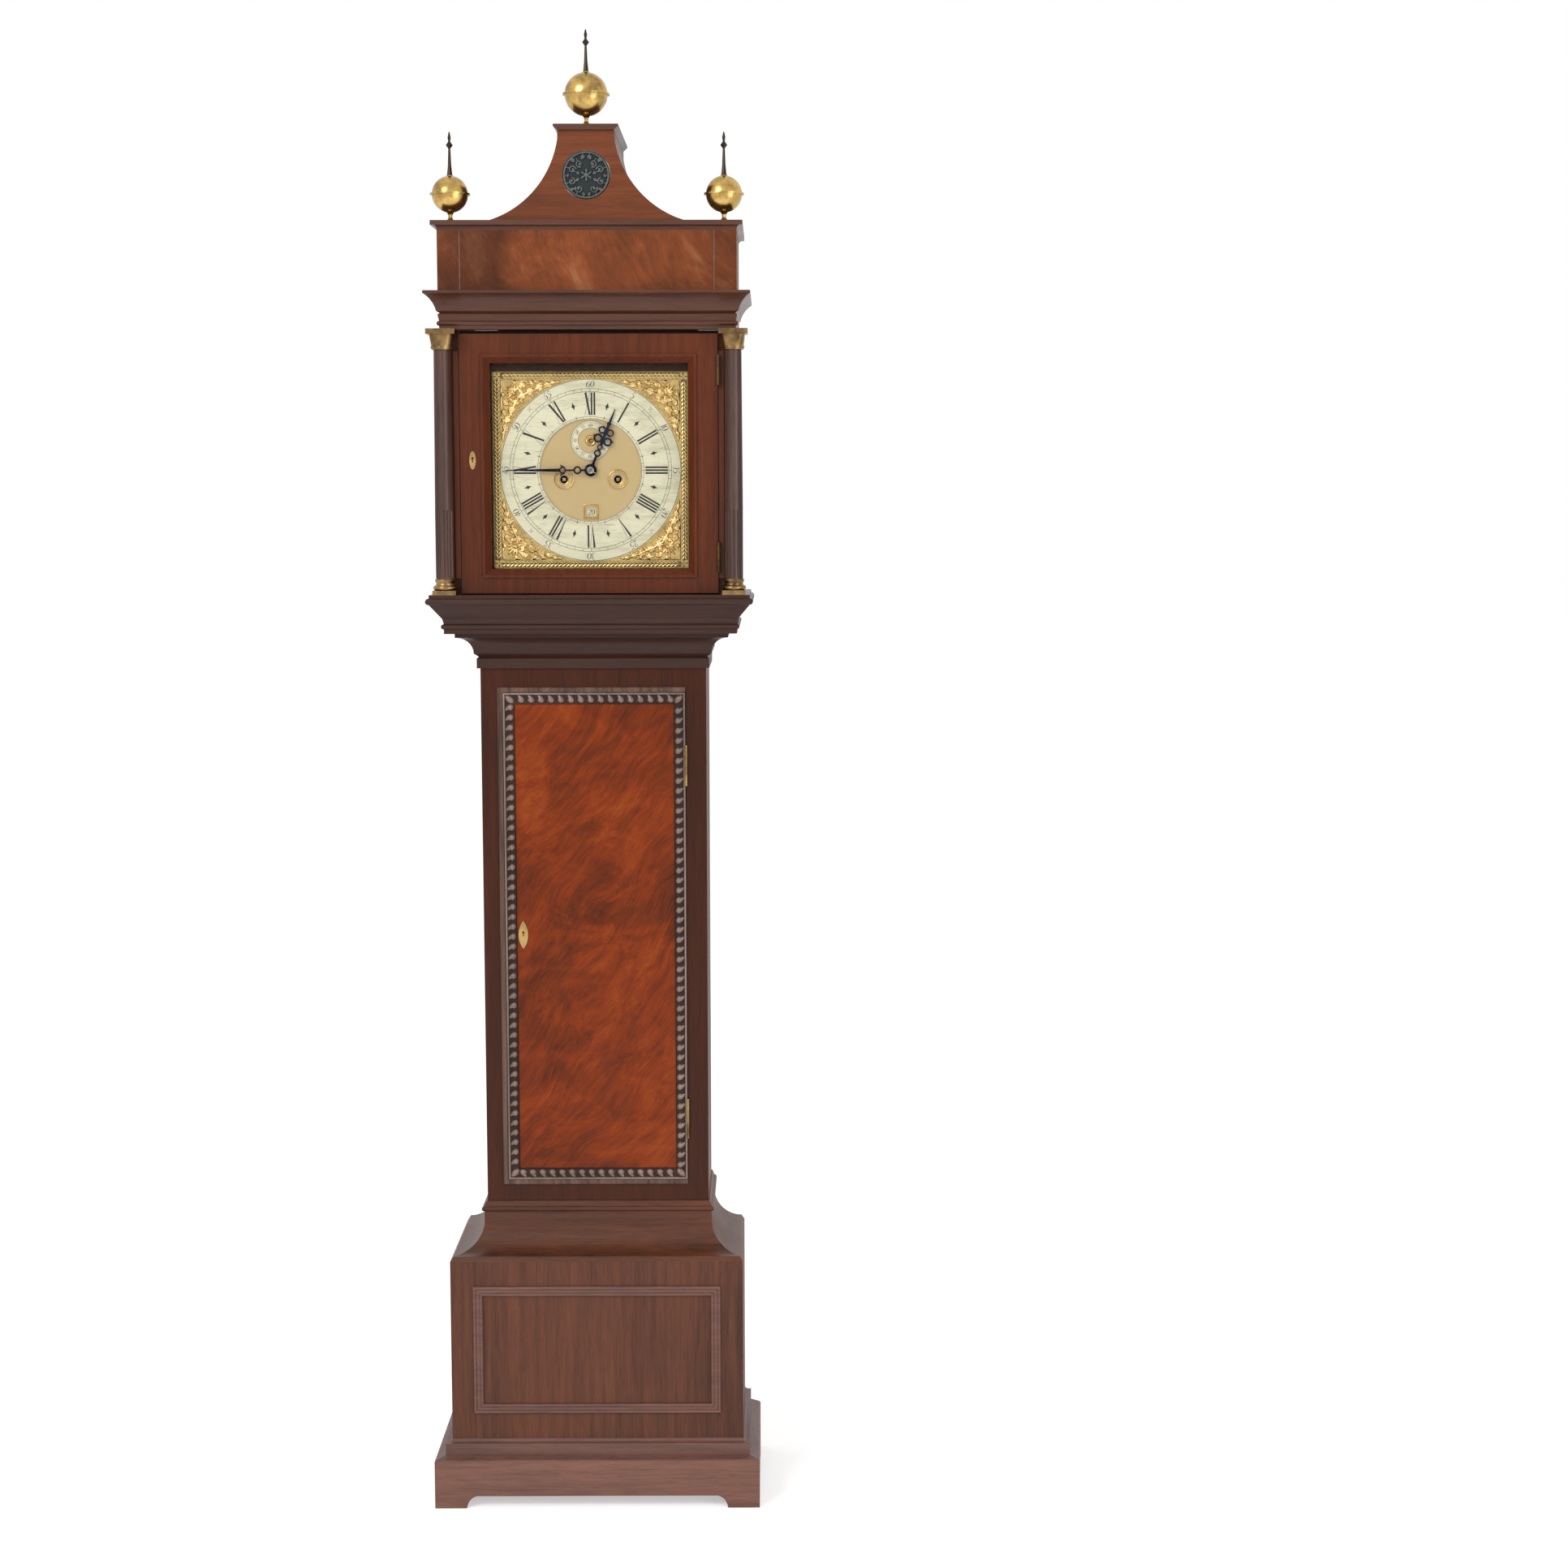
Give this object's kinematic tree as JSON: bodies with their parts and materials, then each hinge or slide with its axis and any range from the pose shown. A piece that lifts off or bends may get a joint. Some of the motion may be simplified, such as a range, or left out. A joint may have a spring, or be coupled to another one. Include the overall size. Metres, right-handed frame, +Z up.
{
  "type": "longcase clock",
  "caption": "Tall pendulum clock in a polished wooden case with a pagoda-topped hood, glazed dial door, long trunk door, weights and a striking movement.",
  "frame": {"origin": "on the floor, at the middle of the clock's width and depth", "axes": "+X to the right as seen from the front, +Y towards the back, +Z up"},
  "size_m": [0.514, 0.272, 2.2915],
  "materials": {
    "case_wood": "polished",
    "moulding_wood": "polished",
    "flame_wood": "polished",
    "column_wood": "polished",
    "carved_wood": "waxed",
    "inner_wood": "plain",
    "cast_brass": "satin",
    "dial_brass": "matted and engraved",
    "silvered_brass": "silvered",
    "gilt_brass": "gilt",
    "train_brass": "polished",
    "blued_steel": "blued",
    "bright_steel": "bright",
    "bell_metal": "turned",
    "weight_iron": "painted",
    "pane": "clear",
    "cloth": "woven",
    "gut": "gut"
  },
  "bodies": {
    "case": {"plinth_skirt": "case_wood", "plinth_moulding": "moulding_wood", "base_carcass": "case_wood", "base_panel_bead": "moulding_wood", "base_cove": "moulding_wood", "backboard": "inner_wood", "trunk_sides": "case_wood", "trunk_front_frame": "case_wood", "trunk_cove": "moulding_wood", "trunk_hinge_leaves": "cast_brass", "seat_board": "inner_wood", "front_plate": "train_brass", "back_plate": "train_brass", "bell": "bell_metal", "dial_plate": "dial_brass", "chapter_ring": "silvered_brass", "seconds_ring": "silvered_brass", "spandrels": "gilt_brass"},
    "hood": {"hood_base_frame": "moulding_wood", "hood_sides": "case_wood", "column_left": "column_wood", "column_right": "column_wood", "column_mounts": "cast_brass", "hood_mask": "case_wood", "hood_cornice": "moulding_wood", "attic_box": "flame_wood", "attic_cap": "moulding_wood", "pagoda_front": "flame_wood", "pagoda_roof": "case_wood", "fret_roundel": "carved_wood", "fret_cloth": "cloth", "finials": "cast_brass", "hood_hinge_leaves": "cast_brass"},
    "hood_door": {"hood_door_frame": "case_wood", "hood_door_glass": "pane", "hood_door_hinges": "cast_brass", "hood_door_escutcheon": "cast_brass"},
    "trunk_door": {"trunk_door_panel": "flame_wood", "trunk_door_border": "carved_wood", "trunk_door_hinges": "cast_brass", "trunk_door_escutcheon": "cast_brass"},
    "minute_works": {"centre_wheel": "train_brass", "minute_hand": "blued_steel"},
    "hour_works": {"hour_wheel": "train_brass", "hour_hand": "blued_steel"},
    "minute_wheel": {"minute_wheel": "train_brass"},
    "third_wheel": {"third_wheel": "train_brass"},
    "escape_wheel": {"escape_wheel": "train_brass"},
    "anchor": {"anchor": "bright_steel"},
    "pendulum": {"pendulum": "cast_brass"},
    "going_great_wheel": {"going_great_wheel": "train_brass"},
    "strike_great_wheel": {"strike_great_wheel": "train_brass"},
    "going_barrel": {"going_barrel": "train_brass"},
    "strike_barrel": {"strike_barrel": "train_brass"},
    "going_weight": {"going_weight": "weight_iron", "going_line": "gut"},
    "strike_weight": {"strike_weight": "weight_iron", "strike_line": "gut"},
    "hammer": {"hammer": "bright_steel"},
    "calendar_ring": {"calendar_ring": "silvered_brass"}
  },
  "joints": [
    {"name": "hood_slide", "type": "slide", "parent": "case", "child": "hood", "axis": [0, -1, 0], "range_m": [0, 0.28]},
    {"name": "hood_door_swing", "type": "hinge", "parent": "hood", "child": "hood_door", "pos_m": [0.1975, -0.1052, 1.639], "axis": [0, 0, 1], "range_deg": [0, 90]},
    {"name": "trunk_door_swing", "type": "hinge", "parent": "case", "child": "trunk_door", "pos_m": [0.1436, -0.0585, 0.9], "axis": [0, 0, 1], "range_deg": [0, 110]},
    {"name": "minute_turn", "type": "hinge", "parent": "case", "child": "minute_works", "pos_m": [0, 0, 1.633], "axis": [0, 1, 0], "continuous": true},
    {"name": "hour_turn", "type": "hinge", "parent": "case", "child": "hour_works", "pos_m": [0, 0, 1.633], "axis": [0, 1, 0], "continuous": true},
    {"name": "minute_wheel_turn", "type": "hinge", "parent": "case", "child": "minute_wheel", "pos_m": [0, 0, 1.60375], "axis": [0, 1, 0], "continuous": true},
    {"name": "third_turn", "type": "hinge", "parent": "case", "child": "third_wheel", "pos_m": [0.01034, 0, 1.65631], "axis": [0, 1, 0], "continuous": true},
    {"name": "escape_turn", "type": "hinge", "parent": "case", "child": "escape_wheel", "pos_m": [0, 0, 1.6783], "axis": [0, 1, 0], "continuous": true},
    {"name": "going_great_turn", "type": "hinge", "parent": "case", "child": "going_great_wheel", "pos_m": [0.0415, 0, 1.619], "axis": [0, 1, 0], "continuous": true},
    {"name": "strike_great_turn", "type": "hinge", "parent": "case", "child": "strike_great_wheel", "pos_m": [-0.0415, 0, 1.619], "axis": [0, 1, 0], "continuous": true},
    {"name": "going_weight_drop", "type": "slide", "parent": "case", "child": "going_weight", "axis": [0, 0, -1], "range_m": [0, 1.1], "deforming": ["going_line"]},
    {"name": "going_barrel_turn", "type": "hinge", "parent": "case", "child": "going_barrel", "pos_m": [0.0415, 0, 1.619], "axis": [0, -1, 0], "range_deg": [0, 5460]},
    {"name": "strike_weight_drop", "type": "slide", "parent": "case", "child": "strike_weight", "axis": [0, 0, -1], "range_m": [0, 1.1], "deforming": ["strike_line"]},
    {"name": "strike_barrel_turn", "type": "hinge", "parent": "case", "child": "strike_barrel", "pos_m": [-0.0415, 0, 1.619], "axis": [0, -1, 0], "range_deg": [0, 5460]},
    {"name": "pendulum_swing", "type": "hinge", "parent": "case", "child": "pendulum", "pos_m": [0, 0.062, 1.7033], "axis": [0, 1, 0], "range_deg": [-3, 3]},
    {"name": "anchor_rock", "type": "hinge", "parent": "case", "child": "anchor", "pos_m": [0, 0.062, 1.7033], "axis": [0, 1, 0], "range_deg": [-3, 3]},
    {"name": "hammer_lift", "type": "hinge", "parent": "case", "child": "hammer", "pos_m": [-0.045, 0, 1.706], "axis": [0, -1, 0], "range_deg": [0, 8], "stiffness_Nm_per_rad": 0.1, "springref_deg": -5.73},
    {"name": "calendar_turn", "type": "hinge", "parent": "case", "child": "calendar_ring", "pos_m": [0, 0, 1.633], "axis": [0, 1, 0], "continuous": true}
  ],
  "couplings": [
    {"joint": "hour_turn", "follows": "minute_turn", "ratio": 0.083333},
    {"joint": "minute_wheel_turn", "follows": "minute_turn", "ratio": -1},
    {"joint": "third_turn", "follows": "minute_turn", "ratio": -7.5},
    {"joint": "escape_turn", "follows": "minute_turn", "ratio": 60},
    {"joint": "going_great_turn", "follows": "minute_turn", "ratio": -0.083333},
    {"joint": "anchor_rock", "follows": "pendulum_swing", "ratio": 1},
    {"joint": "going_barrel_turn", "follows": "going_weight_drop", "rad_per_m": 86.58},
    {"joint": "strike_barrel_turn", "follows": "strike_weight_drop", "rad_per_m": 86.58}
  ]
}
